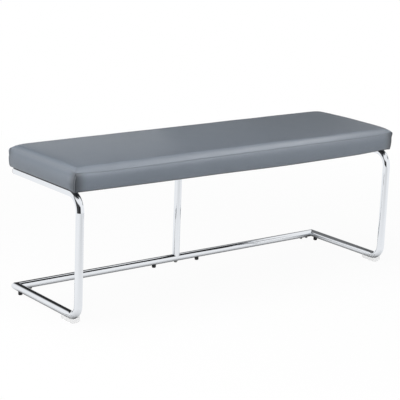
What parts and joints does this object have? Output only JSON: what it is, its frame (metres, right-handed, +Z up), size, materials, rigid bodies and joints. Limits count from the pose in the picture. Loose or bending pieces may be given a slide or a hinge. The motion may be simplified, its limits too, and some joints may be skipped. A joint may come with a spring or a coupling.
{
  "type": "upholstered bench",
  "caption": "Long padded leather bench seat on C-shaped chromed tube side frames, joined near the floor by a rear rail that carries a centre leg.",
  "frame": {"origin": "on the floor, under the middle of the bench's outline seen from above", "axes": "+X along the bench to its right end seen from the front, +Y to the back, +Z up"},
  "size_m": [1.3, 0.3957, 0.485],
  "materials": {
    "chromed_tube": "mirror polished",
    "leather": "smooth, fine grain",
    "foam": "open-cell foam",
    "plywood": "raw",
    "black_lining": "non-woven, matt",
    "black_plastic": "moulded",
    "clear_plastic": "clear moulded plastic",
    "zinc_steel": "zinc plated"
  },
  "bodies": {
    "root": {"centre_leg": "chromed_tube", "centre_leg_bolt": "zinc_steel", "centre_leg_insert": "zinc_steel", "centre_leg_plate": "zinc_steel", "connector_screws": "zinc_steel", "cover_staples": "zinc_steel", "dust_cover": "black_lining", "foam_pad": "foam", "left_corner_stub": "chromed_tube", "left_end_plug": "black_plastic", "left_front_glide": "clear_plastic", "left_front_tab": "zinc_steel", "left_rail_connector": "zinc_steel", "left_rail_glide": "black_plastic", "left_rear_glide": "black_plastic", "left_rear_tab": "zinc_steel", "left_side_frame": "chromed_tube", "lining_staples": "zinc_steel", "plate_screws": "zinc_steel", "rear_rail": "chromed_tube", "right_corner_stub": "chromed_tube", "right_end_plug": "black_plastic", "right_front_glide": "clear_plastic", "right_front_tab": "zinc_steel", "right_rail_connector": "zinc_steel", "right_rail_glide": "black_plastic", "right_rear_glide": "black_plastic", "right_rear_tab": "zinc_steel", "right_side_frame": "chromed_tube", "seat_board": "plywood", "seat_cover": "leather", "seat_screws": "zinc_steel", "tee_nuts": "zinc_steel"}
  },
  "joints": []
}
